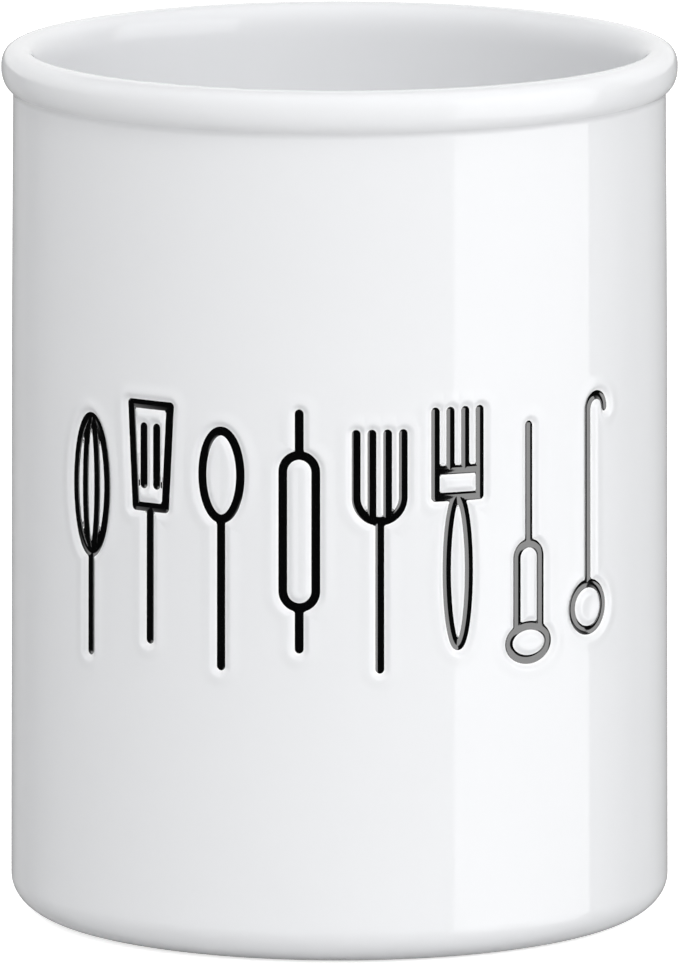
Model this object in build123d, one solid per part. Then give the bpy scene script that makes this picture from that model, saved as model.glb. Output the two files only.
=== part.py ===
from build123d import *
import os
from math import atan2, cos, degrees, radians, sin, sqrt

# A stoneware crock that stands open on a counter and holds kitchen utensils.
# Millimetres, +Z up, the origin in the middle of the circle that it stands on, its front towards -Y.

# Overall size of the thrown body
crock_height = 165.0
body_diameter = 124.0
wall_thickness = 3.9
floor_thickness = 6.0

# Rolled rim: how far it stands out past the wall, how far its nose reaches out from the crown
# of the roll, how far it rises to the crown and drops below, how far down its rounded inside
# reaches, and how steeply the glaze pooled in the crease meets the underside
rim_overhang = 1.75
rim_nose_reach = 2.55
rim_crown_rise = 3.9
rim_underside_drop = 4.2
rim_inside_drop = 8.0
crease_tilt_degrees = 42.0

# Base: the rolled-under outer edge, the foot ring that touches the counter and the round inner corner
base_edge_reach = 8.7
base_edge_rise = 7.5
foot_ring_width = 6.0
foot_recess_depth = 1.2
inner_corner_radius = 9.0

# Figures pressed into the front: how deep the flat floor of each groove lies in the middle of the
# figure, and how far below the surface the black glaze in it stays
groove_depth = 1.3
fill_recess = 0.35
stroke_width = 1.7
cut_overrun = 5.0

# Where the figures stand: one every few degrees, by turns a little higher and lower
figure_height = 46.0
figure_width = 10.6
figure_middle_height = 80.5
figure_stagger = 1.9
figure_pitch_degrees = 14.0

# Straight steps that the round parts are divided into. In the section: a quarter of the rim, the
# rolled-under base edge, the inner corner and the pooled crease. In the figures: a whole oval, a
# half ring and the round end of a stroke.
rim_steps = 4
base_edge_steps = 5
inner_corner_steps = 3
crease_steps = 2
oval_steps = 28
ring_steps = 10
end_steps = 4

# Shares of a figure's height and width that the parts of each drawn utensil take
whisk_balloon_share = 0.56
whisk_inner_wire_share = 0.38
turner_blade_share = 0.42
turner_taper_share = 0.76
turner_slot_share = 0.56
turner_slot_place_share = 0.33
spoon_bowl_share = 0.36
spoon_bowl_width_share = 0.86
pin_barrel_width_share = 0.7
pin_grip_share = 0.17
fork_tine_share = 0.26
brush_bristle_share = 0.24
brush_ferrule_share = 0.11
brush_handle_share = 0.5
masher_plate_share = 0.14
masher_leg_share = 0.28
masher_leg_spread_share = 0.6
ladle_hook_share = 0.56

# Sizes that follow from those above
body_radius = body_diameter / 2
inner_radius = body_radius - wall_thickness
rim_radius = body_radius + rim_overhang
crown_radius = rim_radius - rim_nose_reach
nose_height = crock_height - rim_crown_rise
base_edge_radius = body_radius - base_edge_reach
recess_radius = base_edge_radius - foot_ring_width
groove_floor_radius = body_radius - groove_depth
half_stroke = stroke_width / 2
half_width = figure_width / 2 - half_stroke
top_line = figure_height - half_stroke
foot_line = half_stroke


def arc_points(middle, reach, rise, start, end, steps):
    """Points on an oval round its middle, from the angle start to the angle end."""
    x, y = middle
    turns = [radians(start + (end - start) * step / steps) for step in range(steps + 1)]
    return [(x + reach * cos(turn), y + rise * sin(turn)) for turn in turns]


def filled(points):
    """The face inside a closed line of points."""
    return make_face(Polyline(*points, close=True))


def rim_points():
    """The rolled rim in section, from the pooled crease round its nose and over to the inner wall."""
    tilt = radians(crease_tilt_degrees)
    crease_turn = atan2(rim_underside_drop * sin(tilt), rim_nose_reach * cos(tilt))
    crease_depth = crown_radius + rim_nose_reach * cos(crease_turn) - body_radius
    crease_radius = crease_depth / (1 - cos(tilt))
    crease_foot = nose_height - rim_underside_drop * sin(crease_turn) - crease_radius * sin(tilt)
    crease_middle = (body_radius + crease_radius, crease_foot)
    crease_end = 180 - crease_tilt_degrees
    crown_middle = (crown_radius, nose_height)
    lip_reach = crown_radius - inner_radius
    lip_middle = (crown_radius, crock_height - rim_inside_drop)
    crease = arc_points(crease_middle, crease_radius, crease_radius, 180, crease_end, crease_steps)
    underside = arc_points(
        crown_middle, rim_nose_reach, rim_underside_drop, -degrees(crease_turn), 0, rim_steps
    )
    nose = arc_points(crown_middle, rim_nose_reach, rim_crown_rise, 0, 90, rim_steps)
    lip = arc_points(lip_middle, lip_reach, rim_inside_drop, 90, 180, rim_steps)
    return crease + underside[1:] + nose[1:] + lip[1:]


def crock_section():
    """Half section of the body: foot ring, rolled-under edge, wall, rolled rim, inner wall, floor."""
    foot = [
        (0, floor_thickness),
        (0, foot_recess_depth),
        (recess_radius - foot_recess_depth, foot_recess_depth),
        (recess_radius, 0),
    ]
    edge_middle = (base_edge_radius, base_edge_rise)
    edge = arc_points(edge_middle, base_edge_reach, base_edge_rise, -90, 0, base_edge_steps)
    corner_middle = (inner_radius - inner_corner_radius, floor_thickness + inner_corner_radius)
    corner = arc_points(
        corner_middle, inner_corner_radius, inner_corner_radius, 0, -90, inner_corner_steps
    )
    return filled(foot + edge + rim_points() + corner)


def thrown_body():
    """The body turned from its half section."""
    return revolve(Plane.XZ * crock_section(), Axis.Z)


def stroke(start, end):
    """A straight stroke with round ends, between the middles of its ends."""
    turn = degrees(atan2(end[1] - start[1], end[0] - start[0]))
    far_end = arc_points(end, half_stroke, half_stroke, turn - 90, turn + 90, end_steps)
    near_end = arc_points(start, half_stroke, half_stroke, turn + 90, turn + 270, end_steps)
    return filled(far_end + near_end)


def upright(x, low, high):
    """An upright stroke at x, between two heights."""
    return stroke((x, low), (x, high))


def closed_line(corners):
    """Strokes from each corner to the next and back to the first."""
    lines = stroke(corners[-1], corners[0])
    for start, end in zip(corners, corners[1:]):
        lines += stroke(start, end)
    return lines


def oval(y, half_reach, half_rise):
    """A closed oval line round a middle at height y."""
    outside, inside = [
        filled(arc_points((0, y), half_reach + side, half_rise + side, 0, 360, oval_steps)[:-1])
        for side in (half_stroke, -half_stroke)
    ]
    return outside - inside


def half_ring(x, y, radius, start):
    """A half circle line with round ends, anticlockwise from the angle start."""
    end = start + 180
    reach = (radius * cos(radians(start)), radius * sin(radians(start)))
    near_middle = (x + reach[0], y + reach[1])
    far_middle = (x - reach[0], y - reach[1])
    outside = arc_points((x, y), radius + half_stroke, radius + half_stroke, start, end, ring_steps)
    far_end = arc_points(far_middle, half_stroke, half_stroke, end, end + 180, end_steps)
    inside = arc_points((x, y), radius - half_stroke, radius - half_stroke, end, start, ring_steps)
    near_end = arc_points(near_middle, half_stroke, half_stroke, start - 180, start, end_steps)
    return filled(outside[:-1] + far_end[:-1] + inside[:-1] + near_end[:-1])


def whisk():
    """Balloon of wires on a straight handle."""
    half_balloon = figure_height * whisk_balloon_share / 2
    middle = top_line - half_balloon
    wires = oval(middle, half_width, half_balloon)
    wires += oval(middle, half_width * whisk_inner_wire_share, half_balloon)
    return wires + upright(0, foot_line, middle - half_balloon)


def turner():
    """Slotted blade that widens upwards, on a straight handle."""
    blade_foot = top_line - figure_height * turner_blade_share
    narrow = half_width * turner_taper_share
    blade = closed_line([
        (-narrow, blade_foot),
        (narrow, blade_foot),
        (half_width, top_line),
        (-half_width, top_line),
    ])
    slot_reach = (top_line - blade_foot) * turner_slot_share / 2
    slot_middle = (top_line + blade_foot) / 2
    slot_place = half_width * turner_slot_place_share
    for x in (-slot_place, slot_place):
        blade += upright(x, slot_middle - slot_reach, slot_middle + slot_reach)
    return blade + upright(0, foot_line, blade_foot)


def spoon():
    """Oval bowl on a straight handle."""
    half_bowl = figure_height * spoon_bowl_share / 2
    bowl = oval(top_line - half_bowl, half_width * spoon_bowl_width_share, half_bowl)
    return bowl + upright(0, foot_line, top_line - 2 * half_bowl)


def rolling_pin():
    """Long round-ended barrel between two handles."""
    grip = figure_height * pin_grip_share
    reach = half_width * pin_barrel_width_share
    low = foot_line + grip + reach
    high = top_line - grip - reach
    lines = half_ring(0, low, reach, 180) + half_ring(0, high, reach, 0)
    for side in (-1, 1):
        lines += upright(side * reach, low, high)
    lines += upright(0, foot_line, foot_line + grip)
    return lines + upright(0, top_line - grip, top_line)


def fork():
    """Four tines on a round shoulder, and a long straight handle."""
    shoulder = top_line - figure_height * fork_tine_share
    lines = half_ring(0, shoulder, half_width, 180)
    inner_tine = half_width / 3
    inner_foot = shoulder - sqrt(half_width ** 2 - inner_tine ** 2)
    for side in (-1, 1):
        lines += upright(side * half_width, shoulder, top_line)
        lines += upright(side * inner_tine, inner_foot, top_line)
    return lines + upright(0, foot_line, shoulder - half_width)


def pastry_brush():
    """Row of bristles in a ferrule, over a long hollow handle."""
    bristle_foot = top_line - figure_height * brush_bristle_share
    ferrule_foot = bristle_foot - figure_height * brush_ferrule_share
    lines = closed_line([
        (-half_width, ferrule_foot),
        (half_width, ferrule_foot),
        (half_width, bristle_foot),
        (-half_width, bristle_foot),
    ])
    for step in (-3, -1, 1, 3):
        lines += upright(step * half_width / 3, bristle_foot, top_line)
    half_handle = (ferrule_foot - foot_line) / 2
    return lines + oval(foot_line + half_handle, half_width * brush_handle_share, half_handle)


def masher():
    """Straight handle, two legs that part under a bow, and an oval mashing plate."""
    half_plate = figure_height * masher_plate_share / 2
    bow_radius = half_width * masher_leg_spread_share
    plate_top = foot_line + 2 * half_plate
    bow_middle = plate_top + figure_height * masher_leg_share
    lines = oval(foot_line + half_plate, half_width, half_plate)
    lines += half_ring(0, bow_middle, bow_radius, 0)
    for side in (-1, 1):
        lines += upright(side * bow_radius, plate_top, bow_middle)
    return lines + upright(0, bow_middle + bow_radius, top_line)


def ladle():
    """Round bowl at the foot, a straight handle and a hook over its top."""
    hook_radius = half_width * ladle_hook_share
    hook_middle = top_line - hook_radius
    lines = oval(foot_line + half_width, half_width, half_width)
    lines += upright(0, foot_line + 2 * half_width, hook_middle)
    return lines + half_ring(hook_radius, hook_middle, hook_radius, 0)


def tangent_plane(turn_degrees, distance, height):
    """A plane that faces straight out, turned from the front and at a distance from the axis."""
    turn = radians(turn_degrees)
    outwards = (sin(turn), -cos(turn), 0)
    origin = (distance * outwards[0], distance * outwards[1], height)
    return Plane(origin=origin, x_dir=(cos(turn), sin(turn), 0), z_dir=outwards)


figures = [
    ("whisk_inlay", whisk),
    ("turner_inlay", turner),
    ("spoon_inlay", spoon),
    ("rolling_pin_inlay", rolling_pin),
    ("fork_inlay", fork),
    ("pastry_brush_inlay", pastry_brush),
    ("masher_inlay", masher),
    ("ladle_inlay", ladle),
]

body = thrown_body()
pieces = {}
for index, (name, draw) in enumerate(figures):
    turn = (index - (len(figures) - 1) / 2) * figure_pitch_degrees
    lift = figure_stagger if index % 2 else -figure_stagger
    foot = figure_middle_height - figure_height / 2 + lift
    drawing = tangent_plane(turn, groove_floor_radius, foot) * draw()
    body -= extrude(drawing, groove_depth + cut_overrun)
    pieces[name] = extrude(drawing, groove_depth - fill_recess)
pieces["crock_body"] = body

os.makedirs("parts", exist_ok=True)
for name, piece in pieces.items():
    export_step(piece, f"parts/{name}.step")
    print(name, len(piece.solids()), round(piece.volume, 1))
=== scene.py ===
import math

import bpy
import numpy as np
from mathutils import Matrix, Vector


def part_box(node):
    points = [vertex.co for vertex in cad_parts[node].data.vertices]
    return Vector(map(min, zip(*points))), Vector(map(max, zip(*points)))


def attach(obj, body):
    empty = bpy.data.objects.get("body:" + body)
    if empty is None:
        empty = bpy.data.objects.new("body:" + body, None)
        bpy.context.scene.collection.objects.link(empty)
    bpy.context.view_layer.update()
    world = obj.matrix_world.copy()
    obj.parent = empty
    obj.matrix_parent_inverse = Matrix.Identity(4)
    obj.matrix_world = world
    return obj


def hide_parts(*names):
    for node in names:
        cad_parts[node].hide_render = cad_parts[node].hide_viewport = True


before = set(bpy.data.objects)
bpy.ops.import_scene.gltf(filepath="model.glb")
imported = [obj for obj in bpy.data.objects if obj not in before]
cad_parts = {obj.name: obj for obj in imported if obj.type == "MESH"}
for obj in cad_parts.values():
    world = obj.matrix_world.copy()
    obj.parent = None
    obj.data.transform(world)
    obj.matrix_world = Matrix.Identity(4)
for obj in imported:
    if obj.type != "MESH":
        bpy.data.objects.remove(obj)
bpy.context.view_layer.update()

# Whisk: the black glaze in the drawn whisk, two ovals of wire on a handle. It is one pool, laid into
# the pressed groove and fired in. Sizes are in millimetres here, and a finished piece is in metres.
# The figures' height, and the height that each one starts at, are those of their CAD nodes.
mm = 0.001


def in_mm(metres):
    """A length from the frame in millimetres, to the hundredth."""
    return round(metres / mm, 2)


whisk_low, whisk_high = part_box("whisk_inlay")
figure_height = in_mm(whisk_high.z - whisk_low.z)
figure_count = 8
figure_width = 10.6
figure_pitch = math.radians(14.0)
figure_middle_height = 80.5
stroke_width = 1.7
half_stroke = stroke_width / 2
half_width = figure_width / 2 - half_stroke
top_line = figure_height - half_stroke
foot_line = half_stroke
body_radius = 62.0
wall_lean = 0.0036
grid_step = 0.2
grid_half_width = 6.0
grid_margin = 0.7
fitting_rounds = 3
glaze_bottom = 1.35
glaze_middle = 0.75
glaze_climb = 0.22
glaze_overlap = 0.1
drawings = []


def line(*points):
    """A straight or bent line through the points."""
    return np.array(points, float)


def arc(x, y, reach, rise, start, end, steps=96):
    """Part of an oval: its middle plus reach times the cosine and rise times the sine of a turn."""
    turn = np.radians(np.linspace(start, end, steps + 1))
    return np.stack([x + reach * np.cos(turn), y + rise * np.sin(turn)], axis=1)


def nearest(lines, x, y):
    """Distance from each point to the strokes' edge, negative inside, and which way it grows.

    A stroke is every point within half its width of its line, so the distance is that to the
    nearest straight piece of a line, less half the width.
    """
    start = np.concatenate([path[:-1] for path in lines])
    span = np.concatenate([path[1:] for path in lines]) - start
    off_x = x[..., None] - start[:, 0]
    off_y = y[..., None] - start[:, 1]
    along = np.clip((off_x * span[:, 0] + off_y * span[:, 1]) / (span ** 2).sum(axis=1), 0, 1)
    off_x -= along * span[:, 0]
    off_y -= along * span[:, 1]
    far = np.hypot(off_x, off_y)
    pick = far.argmin(axis=-1)[..., None]
    far, off_x, off_y = [
        np.take_along_axis(part, pick, axis=-1)[..., 0] for part in (far, off_x, off_y)
    ]
    size = np.maximum(far, 1e-9)
    return far - half_stroke, off_x / size, off_y / size


def fitted_grid(x, y, measure, level):
    """Moves the grid's points so that its edges follow the line where the distance is the level.

    Of each two neighbours on either side of that line, the nearer one moves onto it, straight along
    the way the distance grows. Each square is cut in two along the corners nearer to the line.
    """
    gap = measure(x, y)[0] - level
    near = np.zeros(gap.shape, bool)
    for first, second in (
        (np.s_[:-1, :], np.s_[1:, :]),
        (np.s_[:, :-1], np.s_[:, 1:]),
    ):
        crossed = gap[first] * gap[second] < 0
        first_is_nearer = np.abs(gap[first]) <= np.abs(gap[second])
        near[first] |= crossed & first_is_nearer
        near[second] |= crossed & ~first_is_nearer
    x, y = x.copy(), y.copy()
    for fitting in range(fitting_rounds):
        far, way_x, way_y = measure(x[near], y[near])
        x[near] -= (far - level) * way_x
        y[near] -= (far - level) * way_y
    far, way_x, way_y = measure(x, y)
    gap = np.where(near, 0, far - level)
    index = np.arange(gap.size).reshape(gap.shape)
    a, b, c, d = index[:-1, :-1], index[:-1, 1:], index[1:, 1:], index[1:, :-1]
    size = np.abs(gap)
    straight = size[:-1, :-1] + size[1:, 1:] <= size[:-1, 1:] + size[1:, :-1]
    low = np.where(straight[..., None], np.stack([a, b, c], -1), np.stack([a, b, d], -1))
    high = np.where(straight[..., None], np.stack([a, c, d], -1), np.stack([b, c, d], -1))
    triangles = np.concatenate([low.reshape(-1, 3), high.reshape(-1, 3)])
    return x, y, gap, way_x, way_y, triangles


def wall_radius(height):
    """Radius of the wall at a height: body_radius at the figures' middle, a little less above."""
    return body_radius - wall_lean * (height - figure_middle_height)


def on_wall(turn, height, out):
    """Points at a turn round the crock from its front, a height and a distance off the wall."""
    radius = wall_radius(height) + out
    return np.stack([radius * np.sin(turn), -radius * np.cos(turn), height], axis=-1)


def wall_normals(turn, lean, way_x, way_y):
    """Normals of a wall that rises by the slope lean in the direction way_x, way_y."""
    out = np.stack([np.sin(turn), -np.cos(turn), np.zeros_like(turn)], axis=-1)
    right = np.stack([np.cos(turn), np.sin(turn), np.zeros_like(turn)], axis=-1)
    normals = out - (lean * way_x)[..., None] * right
    normals[..., 2] -= lean * way_y
    return normals / np.linalg.norm(normals, axis=-1, keepdims=True)


def make_piece(name, points, groups, normals, material, node):
    """A closed, smooth-shaded piece from points in mm and face arrays, each of one corner count."""
    mesh = bpy.data.meshes.new(name)
    corners = np.concatenate([group.ravel() for group in groups])
    counts = np.concatenate([np.full(len(group), group.shape[1]) for group in groups])
    mesh.vertices.add(len(points))
    mesh.vertices.foreach_set("co", (points * mm).ravel())
    mesh.loops.add(len(corners))
    mesh.loops.foreach_set("vertex_index", corners)
    mesh.polygons.add(len(counts))
    mesh.polygons.foreach_set("loop_start", np.cumsum(counts) - counts)
    mesh.update(calc_edges=True)
    mesh.shade_smooth()
    mesh.normals_split_custom_set_from_vertices(normals)
    mesh.materials.append(material)
    piece = bpy.data.objects.new(name, mesh)
    bpy.context.scene.collection.objects.link(piece)
    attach(piece, "root")
    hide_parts(node)
    return piece


def lay_glaze(name, lines, node):
    """The glaze in one figure: a solid with the strokes' outline and a hollow top.

    Its top lies at the middle depth and climbs towards the edges with the square of how much
    nearer to the edge a point is than the middle of the stroke.
    """
    place = len(drawings)
    turn = (place - (figure_count - 1) / 2) * figure_pitch
    foot = in_mm(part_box(node)[0].z)
    drawings.append((lines, turn, foot))
    across = np.arange(-grid_half_width, grid_half_width + grid_step, grid_step)
    up = np.arange(-grid_margin, figure_height + grid_margin + grid_step, grid_step)
    x, y = np.meshgrid(across, up)
    x, y, gap, way_x, way_y, triangles = fitted_grid(
        x, y, lambda x, y: nearest(lines, x, y), glaze_overlap
    )
    triangles = triangles[gap.ravel()[triangles].max(axis=1) <= 0]
    used, corners = np.unique(triangles, return_inverse=True)
    top = corners.reshape(triangles.shape)
    x, y, gap, way_x, way_y = [part.ravel()[used] for part in (x, y, gap, way_x, way_y)]
    share = np.clip(1 + (gap + glaze_overlap) / half_stroke, 0, None)
    out = glaze_climb * share ** 2 - glaze_middle
    lean = 2 * glaze_climb / half_stroke * share
    angle = turn + np.arcsin(x / body_radius)
    points = np.concatenate([
        on_wall(angle, foot + y, out),
        on_wall(angle, foot + y, -glaze_bottom),
    ])
    normals = np.concatenate([
        wall_normals(angle, lean, way_x, way_y),
        -wall_normals(angle, 0 * lean, way_x, way_y),
    ])
    size = len(used)
    edges = np.concatenate([top[:, [0, 1]], top[:, [1, 2]], top[:, [2, 0]]])
    keys = np.sort(edges, axis=1) @ [size, 1]
    kinds, count = np.unique(keys, return_counts=True)
    outline = edges[np.isin(keys, kinds[count == 1])]
    sides = np.concatenate([outline[:, ::-1], outline + size], axis=1)
    groups = [top, top[:, ::-1] + size, sides]
    make_piece(name, points, groups, normals, black_glaze, node)


def glaze_group():
    """Node group for a fired glaze: the height of slow ripples, fine orange peel and pinholes."""
    group = bpy.data.node_groups.new("fired_glaze", "ShaderNodeTree")
    group.interface.new_socket("Height", in_out="OUTPUT", socket_type="NodeSocketFloat")
    group.interface.new_socket("Tone", in_out="OUTPUT", socket_type="NodeSocketFloat")
    nodes, links = group.nodes, group.links
    place = nodes.new("ShaderNodeTexCoord")
    ripple = nodes.new("ShaderNodeTexNoise")
    ripple.inputs["Scale"].default_value = 38
    ripple.inputs["Detail"].default_value = 1
    peel = nodes.new("ShaderNodeTexNoise")
    peel.inputs["Scale"].default_value = 520
    peel.inputs["Detail"].default_value = 2
    pinholes = nodes.new("ShaderNodeTexVoronoi")
    pinholes.inputs["Scale"].default_value = 95
    pinhole = nodes.new("ShaderNodeMapRange")
    pinhole.inputs["From Max"].default_value = 0.02
    pinhole.inputs["To Min"].default_value = -0.12
    pinhole.inputs["To Max"].default_value = 0.0
    rippled = nodes.new("ShaderNodeMath")
    rippled.operation = "MULTIPLY_ADD"
    rippled.inputs[1].default_value = 0.02
    total = nodes.new("ShaderNodeMath")
    total.operation = "ADD"
    end = nodes.new("NodeGroupOutput")
    for texture in (ripple, peel, pinholes):
        links.new(place.outputs["Object"], texture.inputs["Vector"])
    links.new(pinholes.outputs["Distance"], pinhole.inputs["Value"])
    links.new(peel.outputs["Fac"], rippled.inputs[0])
    links.new(ripple.outputs["Fac"], rippled.inputs[2])
    links.new(rippled.outputs["Value"], total.inputs[0])
    links.new(pinhole.outputs["Result"], total.inputs[1])
    links.new(total.outputs["Value"], end.inputs["Height"])
    links.new(ripple.outputs["Fac"], end.inputs["Tone"])
    return group


def new_material(name, **sockets):
    """A material with its shader's own sockets set; returns it with its nodes, links and shader."""
    material = bpy.data.materials.new(name)
    material.use_nodes = True
    nodes, links = material.node_tree.nodes, material.node_tree.links
    shader = nodes["Principled BSDF"]
    for socket, value in sockets.items():
        shader.inputs[socket.replace("_", " ")].default_value = value
    return material, nodes, links, shader


def graded(nodes, links, value, low, high):
    """Colour output that runs evenly from the colour low to high as the value goes from 0 to 1."""
    grade = nodes.new("ShaderNodeMapRange")
    grade.data_type = "FLOAT_VECTOR"
    vector, to_min, to_max = [grade.inputs[place] for place in (6, 9, 10)]
    to_min.default_value, to_max.default_value = low, high
    links.new(value, vector)
    return grade.outputs["Vector"]


def add_bump(nodes, links, shader, height, distance):
    """Feeds a height to the shader's normal, as a bump of that distance in metres."""
    bump = nodes.new("ShaderNodeBump")
    bump.inputs["Distance"].default_value = distance
    links.new(height, bump.inputs["Height"])
    links.new(bump.outputs["Normal"], shader.inputs["Normal"])


fired_glaze = glaze_group()
black_glaze, nodes, links, shader = new_material("black_glaze", Roughness=0.07, IOR=2.55)
surface = nodes.new("ShaderNodeGroup")
surface.node_tree = fired_glaze
tone = graded(
    nodes, links, surface.outputs["Tone"], (0.0003, 0.0003, 0.0004), (0.0009, 0.0009, 0.0011)
)
links.new(tone, shader.inputs["Base Color"])
add_bump(nodes, links, shader, surface.outputs["Height"], 2e-5)

balloon_share = 0.56
inner_wire_share = 0.38
half_balloon = figure_height * balloon_share / 2
middle = top_line - half_balloon
whisk = [
    arc(0, middle, half_width, half_balloon, 0, 360),
    arc(0, middle, half_width * inner_wire_share, half_balloon, 0, 360),
    line((0, foot_line), (0, middle - half_balloon)),
]
lay_glaze("whisk_glaze", whisk, "whisk_inlay")

# Turner: the black glaze laid into the drawn slotted turner, in three pools that don't touch:
# the blade's outline with the handle, and one pool in each slot.
blade_share = 0.42
blade_taper_share = 0.76
slot_share = 0.56
slot_place_share = 0.33
blade_foot = top_line - figure_height * blade_share
narrow = half_width * blade_taper_share
slot_middle = (top_line + blade_foot) / 2
slot_reach = (top_line - blade_foot) * slot_share / 2
slot_place = half_width * slot_place_share
turner = [
    line(
        (-narrow, blade_foot),
        (narrow, blade_foot),
        (half_width, top_line),
        (-half_width, top_line),
        (-narrow, blade_foot),
    ),
    line((-slot_place, slot_middle - slot_reach), (-slot_place, slot_middle + slot_reach)),
    line((slot_place, slot_middle - slot_reach), (slot_place, slot_middle + slot_reach)),
    line((0, foot_line), (0, blade_foot)),
]
lay_glaze("turner_glaze", turner, "turner_inlay")

# Spoon: the black glaze in the drawn spoon, an oval bowl on a straight handle. It is one pool, laid
# into the pressed groove and fired in.
bowl_share = 0.36
bowl_width_share = 0.86
half_bowl = figure_height * bowl_share / 2
spoon = [
    arc(0, top_line - half_bowl, half_width * bowl_width_share, half_bowl, 0, 360),
    line((0, foot_line), (0, top_line - 2 * half_bowl)),
]
lay_glaze("spoon_glaze", spoon, "spoon_inlay")

# Rolling pin: the black glaze in the drawn rolling pin, a round-ended barrel between two handles.
# It is one pool, laid into the pressed groove and fired in.
barrel_share = 0.7
grip_share = 0.17
barrel = half_width * barrel_share
grip = figure_height * grip_share
barrel_low = foot_line + grip + barrel
barrel_high = top_line - grip - barrel
rolling_pin = [
    arc(0, barrel_low, barrel, barrel, 180, 360),
    arc(0, barrel_high, barrel, barrel, 0, 180),
    line((-barrel, barrel_low), (-barrel, barrel_high)),
    line((barrel, barrel_low), (barrel, barrel_high)),
    line((0, foot_line), (0, foot_line + grip)),
    line((0, top_line - grip), (0, top_line)),
]
lay_glaze("rolling_pin_glaze", rolling_pin, "rolling_pin_inlay")

# Fork: the black glaze in the drawn fork, four tines on a round shoulder and a handle. It is one
# pool, laid into the pressed groove and fired in.
tine_share = 0.26
shoulder = top_line - figure_height * tine_share
inner_tine = half_width / 3
inner_foot = shoulder - math.sqrt(half_width ** 2 - inner_tine ** 2)
fork = [
    arc(0, shoulder, half_width, half_width, 180, 360),
    line((-half_width, shoulder), (-half_width, top_line)),
    line((half_width, shoulder), (half_width, top_line)),
    line((-inner_tine, inner_foot), (-inner_tine, top_line)),
    line((inner_tine, inner_foot), (inner_tine, top_line)),
    line((0, foot_line), (0, shoulder - half_width)),
]
lay_glaze("fork_glaze", fork, "fork_inlay")

# Pastry brush: the black glaze in the drawn brush, four bristles in a ferrule over an oval handle.
# It is one pool, laid into the pressed groove and fired in.
bristle_share = 0.24
ferrule_share = 0.11
handle_width_share = 0.5
bristle_foot = top_line - figure_height * bristle_share
ferrule_foot = bristle_foot - figure_height * ferrule_share
half_handle = (ferrule_foot - foot_line) / 2
pastry_brush = [
    line(
        (-half_width, ferrule_foot),
        (half_width, ferrule_foot),
        (half_width, bristle_foot),
        (-half_width, bristle_foot),
        (-half_width, ferrule_foot),
    ),
    *[
        line((step * half_width / 3, bristle_foot), (step * half_width / 3, top_line))
        for step in (-3, -1, 1, 3)
    ],
    arc(0, foot_line + half_handle, half_width * handle_width_share, half_handle, 0, 360),
]
lay_glaze("pastry_brush_glaze", pastry_brush, "pastry_brush_inlay")

# Masher: the black glaze in the drawn masher, an oval plate under two legs and a bow. It is one
# pool, laid into the pressed groove and fired in.
plate_share = 0.14
bow_share = 0.6
leg_share = 0.28
half_plate = figure_height * plate_share / 2
bow = half_width * bow_share
plate_top = foot_line + 2 * half_plate
bow_middle = plate_top + figure_height * leg_share
masher = [
    arc(0, foot_line + half_plate, half_width, half_plate, 0, 360),
    arc(0, bow_middle, bow, bow, 0, 180),
    line((-bow, plate_top), (-bow, bow_middle)),
    line((bow, plate_top), (bow, bow_middle)),
    line((0, bow_middle + bow), (0, top_line)),
]
lay_glaze("masher_glaze", masher, "masher_inlay")

# Ladle: the black glaze in the drawn ladle, a round bowl at the foot and a hook at the top. It is
# one pool, laid into the pressed groove and fired in.
hook_share = 0.56
hook = half_width * hook_share
hook_middle = top_line - hook
ladle = [
    arc(0, foot_line + half_width, half_width, half_width, 0, 360),
    line((0, foot_line + 2 * half_width), (0, hook_middle)),
    arc(hook, hook_middle, hook, hook, 0, 180),
]
lay_glaze("ladle_glaze", ladle, "ladle_inlay")

# Crock body: one piece of stoneware, cast and turned, with a rolled rim, a rolled-under base edge
# and a foot ring, whose face stays bare clay. A white glaze covers the rest and the figures pressed
# into the front, and pools in the crease of the rim. Its colour is whiter in a thin band along
# the figures' sharp edges: a painted highlight.
crock_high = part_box("crock_body")[1]
crock_height = in_mm(crock_high.z)
nose_radius = in_mm(crock_high.x)
crown_radius = 60.35
crown_power = 2.45
throat_radius = 56.75
throat_power = 2.35
inside_drop = 6.6
inner_radius = 58.1
floor_top = 6.0
corner_radius = 9.0
nose_height = 161.1
nose_reach = 2.55
nose_drop = 4.2
crease_height = 155.3
crease_cut = 0.2
crease_tilt = math.radians(54)
edge_rise = 7.0
foot_radius = 53.3
recess_radius = 47.3
recess_depth = 1.2
recess_bend = 1.5
ring_edge = 0.5
ring_edge_place = 0.6
ring_face_place = 0.8
fan_radius = 8.0
columns = 144
fineness = 9
zone_columns = 23
zone_rows = 21
zone_low = 51.5
zone_high = 109.5
figure_span = math.radians(9.5)
far_off = 9.0
groove_floor = 1.4
groove_side_slope = 3.0
groove_edge_slope = 0.35
bank_width = 1.25
edge_drop = 0.5
lip_rise = 0.2
lip_reach = 2.6
# Width in mm of the painted highlight, a whiter band of glaze colour round the strokes' edges.
painted_highlight_width = 0.5


def flat(start, end, steps):
    """Straight part of the section, in even steps: radius, height and the normal on its right."""
    points = np.linspace(start, end, steps + 1)
    way = np.subtract(end, start) / math.dist(start, end)
    return np.column_stack([points, np.full(steps + 1, way[1]), np.full(steps + 1, -way[0])])


def rolled(middle, reach, rise, start, end, steps, side=1, power=2.0):
    """Round part of the section: an oval arc with its normals outwards, or inwards for side -1.

    The oval is |x / reach|^power + |z / rise|^power = 1, which a power above 2 makes squarer.
    """
    turn = np.radians(np.linspace(start, end, steps + 1))
    across, up = np.cos(turn), np.sin(turn)
    signs = np.stack([np.sign(across), np.sign(up)], axis=1)
    sizes = np.abs(np.stack([across, up], axis=1))
    normals = side * signs * sizes ** (2 - 2 / power) / (reach, rise)
    normals /= np.linalg.norm(normals, axis=1, keepdims=True)
    points = middle + signs * sizes ** (2 / power) * (reach, rise)
    return np.column_stack([points, normals])


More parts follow.
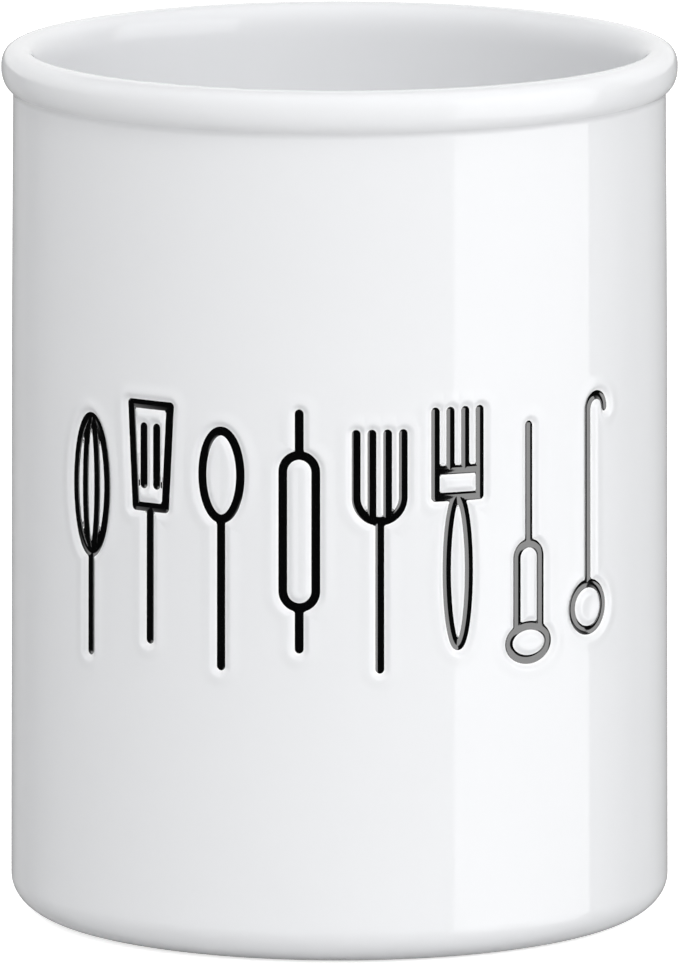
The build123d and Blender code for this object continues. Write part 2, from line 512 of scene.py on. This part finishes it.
def wall_measure(along, height):
    """Distance on the wall to the nearest stroke of all figures, and which way it grows."""
    far, way_x, way_y = np.full(along.shape, far_off), np.zeros(along.shape), np.zeros(along.shape)
    for lines, turn, foot in drawings:
        window = np.abs(along / body_radius - turn) < figure_span
        x = body_radius * np.sin(along[window] / body_radius - turn)
        found = nearest(lines, x, height[window] - foot)
        nearer = found[0] < far[window]
        for total, part in zip((far, way_x, way_y), found):
            total[window] = np.where(nearer, part, total[window])
    return far, way_x, way_y


def lip_share(far):
    """How far a point is from the lip's top: 0 there, 1 at the stroke's edge or the lip's foot."""
    past = far - bank_width
    return np.clip(np.where(past < 0, -past / bank_width, past / lip_reach), 0, 1)


def bank_height(far):
    """How far the glazed wall stands out at a distance from a stroke's edge.

    It drops towards the edge with the square of the nearness. A low lip stands round the bank:
    with s from 0 on its top to 1 at its ends, it has the height (1 - s)^3 (1 + 3 s). Inside the
    stroke it is the groove's floor.
    """
    near = np.clip(1 - far / bank_width, 0, 1)
    share = lip_share(far)
    lip = (1 - share) ** 3 * (1 + 3 * share)
    return np.where(far < 0, -groove_floor, lip_rise * lip - edge_drop * near ** 2)


def bank_slope(far):
    """Slope of the bank: the derivative of its height, with a rounded edge at the stroke."""
    near = np.clip(1 - far / bank_width, 0, 1)
    share = lip_share(far)
    reach = np.where(far < bank_width, bank_width, -lip_reach)
    slope = 2 * edge_drop / bank_width * near + lip_rise * 12 * share * (1 - share) ** 2 / reach
    return np.where(far < 0, groove_side_slope, np.where(far == 0, groove_edge_slope, slope))


# The glaze pooled in the crease is round, and touches both the wall and the rim's underside.
lip_height = crock_height - inside_drop
crease_turn = math.atan(nose_drop / nose_reach * math.tan(crease_tilt))
crease_edge = nose_radius - nose_reach + nose_reach * math.cos(crease_turn)
crease_wall = wall_radius(crease_height) - crease_cut
crease_radius = (crease_edge - crease_wall) / (1 - math.cos(crease_tilt))
crease_low = nose_height - nose_drop * math.sin(crease_turn) - crease_radius * math.sin(crease_tilt)
crease_end = 180 - math.degrees(crease_tilt)
nose_start = -math.degrees(crease_turn)
corner_top = floor_top + corner_radius
below_zone = [
    flat((fan_radius, recess_depth), (recess_radius - recess_bend, recess_depth), 3),
    flat((recess_radius - recess_depth, recess_depth), (recess_radius, 0.0), 4)[1:-1],
    rolled((recess_radius + ring_edge_place, ring_edge), ring_edge, ring_edge, -130, -90, 3),
    flat((recess_radius + ring_face_place, 0.0), (foot_radius, 0.0), 3),
    rolled(
        (foot_radius, edge_rise),
        wall_radius(edge_rise) - foot_radius, edge_rise, -90, 0, 18
    )[1:],
    flat((wall_radius(edge_rise), edge_rise), (wall_radius(zone_low), zone_low), 9)[1:],
]
from_zone = [
    flat((wall_radius(zone_low), zone_low), (wall_radius(zone_high), zone_high), zone_rows),
    flat((wall_radius(zone_high), zone_high), (crease_wall, crease_low), 8),
    rolled(
        (crease_wall + crease_radius, crease_low),
        crease_radius, crease_radius, 180, crease_end, 8, side=-1
    ),
    rolled((nose_radius - nose_reach, nose_height), nose_reach, nose_drop, nose_start, 0, 10),
    rolled(
        (crown_radius, nose_height),
        nose_radius - crown_radius, crock_height - nose_height, 0, 90, 16, power=crown_power
    ),
    rolled(
        (crown_radius, lip_height),
        crown_radius - throat_radius, inside_drop, 90, 180, 18, power=throat_power
    ),
    flat((throat_radius, lip_height), (inner_radius, corner_top), 10),
    rolled(
        (inner_radius - corner_radius, corner_top),
        corner_radius, corner_radius, 0, -90, 12, side=-1
    ),
    flat((inner_radius - corner_radius, floor_top), (fan_radius, floor_top), 5),
]
low_row = sum(len(part) for part in below_zone) - 1
section = np.concatenate(below_zone + [part[1:] for part in from_zone])
turn = np.arange(columns) * 2 * np.pi / columns
ring = np.stack([np.sin(turn), -np.cos(turn)], axis=-1)
rows = len(section)
coarse = np.empty((rows, columns, 3))
coarse[..., :2] = section[:, None, :1] * ring
coarse[..., 2] = section[:, 1:2]
coarse_normals = np.empty((rows, columns, 3))
coarse_normals[..., :2] = section[:, None, 2:3] * ring
coarse_normals[..., 2] = section[:, 3:4]
poles = np.array([[0, 0, section[0, 1]], [0, 0, section[-1, 1]]])
pole_normals = np.array([[0, 0, -1.0], [0, 0, 1.0]])

zone_steps = np.linspace(-zone_columns, zone_columns, 2 * zone_columns * fineness + 1)
zone_turn = np.radians(zone_steps * 360 / columns)
zone_height = np.linspace(zone_low, zone_high, zone_rows * fineness + 1)
along, height = np.meshgrid(body_radius * zone_turn, zone_height)
along, height, far, way_x, way_y, triangles = fitted_grid(along, height, wall_measure, 0)
fine = on_wall(along / body_radius, height, bank_height(far))
fine_normals = wall_normals(along / body_radius, bank_slope(far), way_x, way_y)

# The fine front and the coarse rest share their points along the seam. The squares of the coarse
# grid are left out where the fine grid lies, and those beside it get the fine points on that side.
grid = np.arange(rows * columns).reshape(rows, columns)
wrapped = np.concatenate([grid, grid[:, :1]], axis=1)
quads = np.stack([wrapped[:-1, :-1], wrapped[:-1, 1:], wrapped[1:, 1:], wrapped[1:, :-1]], axis=-1)
high_row = low_row + zone_rows
zone_span = 2 * zone_columns
kept = np.ones((rows - 1, columns), bool)
kept[low_row:high_row, :zone_span + 1] = False
kept[low_row:high_row, -1] = False
kept[[low_row - 1, high_row], :zone_span] = False
kept = np.roll(kept, -zone_columns, axis=1)
zone_grid = np.roll(grid, zone_columns, axis=1)[:, :zone_span + 1]
shared = rows * columns + 2 + np.arange(along.size).reshape(along.shape)
shared[::fineness, [0, -1]] = zone_grid[low_row:high_row + 1, [0, -1]]
shared[[0, -1], ::fineness] = zone_grid[[low_row, high_row]]
steps = np.arange(zone_span)[:, None] * fineness + np.arange(fineness + 1)
climbs = np.arange(zone_rows)[:, None] * fineness + np.arange(fineness + 1)
left = grid[low_row:high_row + 1, -zone_columns - 1]
right = grid[low_row:high_row + 1, zone_columns + 1]
under, over = zone_grid[low_row - 1], zone_grid[high_row + 1]
groups = [
    quads[kept],
    shared.ravel()[triangles],
    np.column_stack([under[:-1], under[1:], shared[0][steps[:, ::-1]]]),
    np.column_stack([shared[-1][steps], over[1:], over[:-1]]),
    np.column_stack([left[:-1], shared[:, 0][climbs], left[1:]]),
    np.column_stack([right[:-1], right[1:], shared[:, -1][climbs[:, ::-1]]]),
    np.stack([np.full(columns, rows * columns), wrapped[0, 1:], wrapped[0, :-1]], axis=1),
    np.stack([np.full(columns, rows * columns + 1), wrapped[-1, :-1], wrapped[-1, 1:]], axis=1),
]
points = np.concatenate([coarse.reshape(-1, 3), poles, fine.reshape(-1, 3)])
normals = np.concatenate([coarse_normals.reshape(-1, 3), pole_normals, fine_normals.reshape(-1, 3)])
used, corners = np.unique(np.concatenate([group.ravel() for group in groups]), return_inverse=True)
cuts = np.cumsum([group.size for group in groups])[:-1]
groups = [part.reshape(group.shape) for part, group in zip(np.split(corners, cuts), groups)]


def mixed(nodes, links, factor, first, second):
    """Colour output that goes from the first colour to the second as the factor goes to 1."""
    mix = nodes.new("ShaderNodeMix")
    mix.data_type = "RGBA"
    links.new(factor, mix.inputs["Factor"])
    for place, colour in ((6, first), (7, second)):
        if isinstance(colour, tuple):
            mix.inputs[place].default_value = (*colour, 1)
        else:
            links.new(colour, mix.inputs[place])
    return mix.outputs[2]


white_glaze, nodes, links, shader = new_material("white_glaze", Specular_IOR_Level=0.5)
surface = nodes.new("ShaderNodeGroup")
surface.node_tree = fired_glaze
place = nodes.new("ShaderNodeTexCoord")
split = nodes.new("ShaderNodeSeparateXYZ")
grain = nodes.new("ShaderNodeTexNoise")
grain.inputs["Scale"].default_value = 1400
bare = nodes.new("ShaderNodeMapRange")
bare.inputs["From Min"].default_value = 0.0003
bare.inputs["From Max"].default_value = 0.0001
# Painted highlight: a point attribute that whitens the glaze colour near the strokes' edges.
painted_highlight_mask = nodes.new("ShaderNodeAttribute")
painted_highlight_mask.attribute_name = "painted_edge_highlight"
rough = nodes.new("ShaderNodeMapRange")
rough.inputs["To Min"].default_value = 0.035
rough.inputs["To Max"].default_value = 0.85
links.new(place.outputs["Object"], split.inputs["Vector"])
links.new(place.outputs["Object"], grain.inputs["Vector"])
links.new(split.outputs["Z"], bare.inputs["Value"])
links.new(bare.outputs["Result"], rough.inputs["Value"])
links.new(rough.outputs["Result"], shader.inputs["Roughness"])
glazed = graded(nodes, links, surface.outputs["Tone"], (0.848, 0.856, 0.872), (0.856, 0.864, 0.88))
clay = graded(nodes, links, grain.outputs["Fac"], (0.5, 0.44, 0.36), (0.74, 0.68, 0.58))
# The glaze colour goes towards near-white at the strokes' edges: a painted highlight.
glaze_with_painted_highlight = mixed(nodes, links, painted_highlight_mask.outputs["Fac"], glazed, (0.985, 0.988, 0.995))
links.new(mixed(nodes, links, bare.outputs["Result"], glaze_with_painted_highlight, clay), shader.inputs["Base Color"])
add_bump(nodes, links, shader, surface.outputs["Height"], 3e-5)
crock = make_piece(
    "crock", points[used], groups, normals[used], white_glaze, "crock_body"
)
# Share of the painted highlight at each point: 1 at and inside a stroke's edge, 0 at its width away
# and on the coarse grid.
painted_highlight_share = np.zeros(len(points))
painted_highlight_share[-far.size:] = np.clip(1 - far.ravel() / painted_highlight_width, 0, 1)
crock.data.attributes.new("painted_edge_highlight", "FLOAT", "POINT").data.foreach_set("value", painted_highlight_share[used])

# Floor: a plain matt sheet, not part of the crock, which stands on it. The camera sees it as white
# but for the crock's soft shadow, and it isn't mirrored in the glaze.
floor_reach = 4
corners = [(-floor_reach, -floor_reach, 0), (floor_reach, -floor_reach, 0)]
corners += [(floor_reach, floor_reach, 0), (-floor_reach, floor_reach, 0)]
floor_mesh = bpy.data.meshes.new("floor")
floor_mesh.from_pydata(corners, [], [(0, 1, 2, 3)])
floor = bpy.data.objects.new("floor", floor_mesh)
bpy.context.scene.collection.objects.link(floor)
floor.visible_glossy = False
paper, nodes, links, shader = new_material(
    "paper", Roughness=0.9, Specular_IOR_Level=0.0, Emission_Color=(1, 1, 1, 1)
)
path = nodes.new("ShaderNodeLightPath")
to_camera = path.outputs["Is Camera Ray"]
shine = nodes.new("ShaderNodeMath")
shine.operation = "MULTIPLY"
shine.inputs[1].default_value = 0.75
links.new(to_camera, shine.inputs[0])
links.new(shine.outputs["Value"], shader.inputs["Emission Strength"])
sheet = mixed(nodes, links, to_camera, (0.81, 0.81, 0.81), (0.85, 0.85, 0.85))
links.new(sheet, shader.inputs["Base Color"])
floor_mesh.materials.append(paper)

# Light: a tall softbox on the right, which the glaze mirrors, and five broad ones overhead and in
# front, which it doesn't. The room is dim, with a bright wall behind the crock.
lamp_aim = 0.09


def add_softbox(name, azimuth, elevation, distance, width, height, brightness):
    """A rectangular lamp that faces the crock, at an azimuth from the front towards the right.

    Angles are in degrees, the rest is in metres. Its brightness is the radiance of its face, so its
    power is that times pi times its area.
    """
    lamp = bpy.data.lights.new(name, "AREA")
    lamp.shape = "RECTANGLE"
    lamp.size, lamp.size_y = width, height
    lamp.energy = brightness * math.pi * width * height
    softbox = bpy.data.objects.new(name, lamp)
    softbox.rotation_euler = (math.radians(90 - elevation), 0, math.radians(azimuth))
    away = softbox.rotation_euler.to_matrix().col[2]
    softbox.location = away * distance
    softbox.location.z += lamp_aim
    softbox.visible_camera = False
    bpy.context.scene.collection.objects.link(softbox)
    return softbox


add_softbox("key", 69, 0, 3, 3.28, 4, 1.42)
for fill in (
    add_softbox("overhead", 0, 90, 8, 9, 9, 0.68),
    add_softbox("front_right", 36, 32, 8, 4, 4, 4.65),
    add_softbox("front_left", -22, 32, 8, 4, 4, 3.48),
    add_softbox("top_front", 8, 60, 8, 5, 5, 0.79),
    add_softbox("top_left", -60, 60, 8, 5, 5, 1.5),
):
    fill.visible_glossy = False


def smooth_step(nodes, links, value, start, end, low, high):
    """Node that eases a value in the range start to end into the range low to high."""
    step = nodes.new("ShaderNodeMapRange")
    step.interpolation_type = "SMOOTHSTEP"
    for name, number in (("From Min", start), ("From Max", end), ("To Min", low), ("To Max", high)):
        step.inputs[name].default_value = number
    links.new(value, step.inputs["Value"])
    return step.outputs["Result"]


def part_along(nodes, links, direction, way):
    """Value node with how far a direction points along the way: their dot product."""
    product = nodes.new("ShaderNodeVectorMath")
    product.operation = "DOT_PRODUCT"
    product.inputs[1].default_value = way
    links.new(direction, product.inputs[0])
    return product.outputs["Value"]


room = bpy.data.worlds.new("room")
bpy.context.scene.world = room
room.use_nodes = True
nodes, links = room.node_tree.nodes, room.node_tree.links
background = nodes["Background"]
background.inputs["Color"].default_value = (1, 1, 1, 1)
direction = nodes.new("ShaderNodeTexCoord").outputs["Generated"]
backwards_left = part_along(nodes, links, direction, (-0.3, 0.95, 0))
backwards_right = part_along(nodes, links, direction, (0.12, 0.99, 0))
upwards = part_along(nodes, links, direction, (0, 0, 1))
wall_glow = smooth_step(nodes, links, backwards_left, -0.2, 0.45, 0.01, 0.95)
floor_glow = smooth_step(nodes, links, backwards_right, 0.62, 0.84, 0.01, 0.31)
above_floor = smooth_step(nodes, links, upwards, -0.04, 0.02, 0, 1)
below_top = smooth_step(nodes, links, upwards, 0.45, 0.8, 1, 0)
lit_wall = nodes.new("ShaderNodeMath")
lit_wall.operation = "MULTIPLY"
glow = nodes.new("ShaderNodeMix")
seen = nodes.new("ShaderNodeMix")
seen.inputs["B"].default_value = 1.0
path = nodes.new("ShaderNodeLightPath")
links.new(wall_glow, lit_wall.inputs[0])
links.new(below_top, lit_wall.inputs[1])
links.new(above_floor, glow.inputs["Factor"])
links.new(floor_glow, glow.inputs["A"])
links.new(lit_wall.outputs["Value"], glow.inputs["B"])
links.new(path.outputs["Is Camera Ray"], seen.inputs["Factor"])
links.new(glow.outputs["Result"], seen.inputs["A"])
links.new(seen.outputs["Result"], background.inputs["Strength"])

# Camera: a long lens, well away and a little above the crock, aimed at its middle. Its focal length
# is in pixels of the picture, whose long side the sensor's width stands for.
distance = 3.503
elevation = math.radians(9.38)
aim_height = 0.08176
picture_height = 963
focal_length = 18526
camera_data = bpy.data.cameras.new("camera")
camera_data.lens = focal_length / picture_height * camera_data.sensor_width
camera_data.clip_start, camera_data.clip_end = 0.1, 50
camera = bpy.data.objects.new("camera", camera_data)
camera.location = (0, -distance * math.cos(elevation), aim_height + distance * math.sin(elevation))
camera.rotation_euler = (math.radians(90) - elevation, 0, 0)
bpy.context.scene.collection.objects.link(camera)
bpy.context.scene.camera = camera
bpy.context.scene.view_settings.view_transform = "Standard"
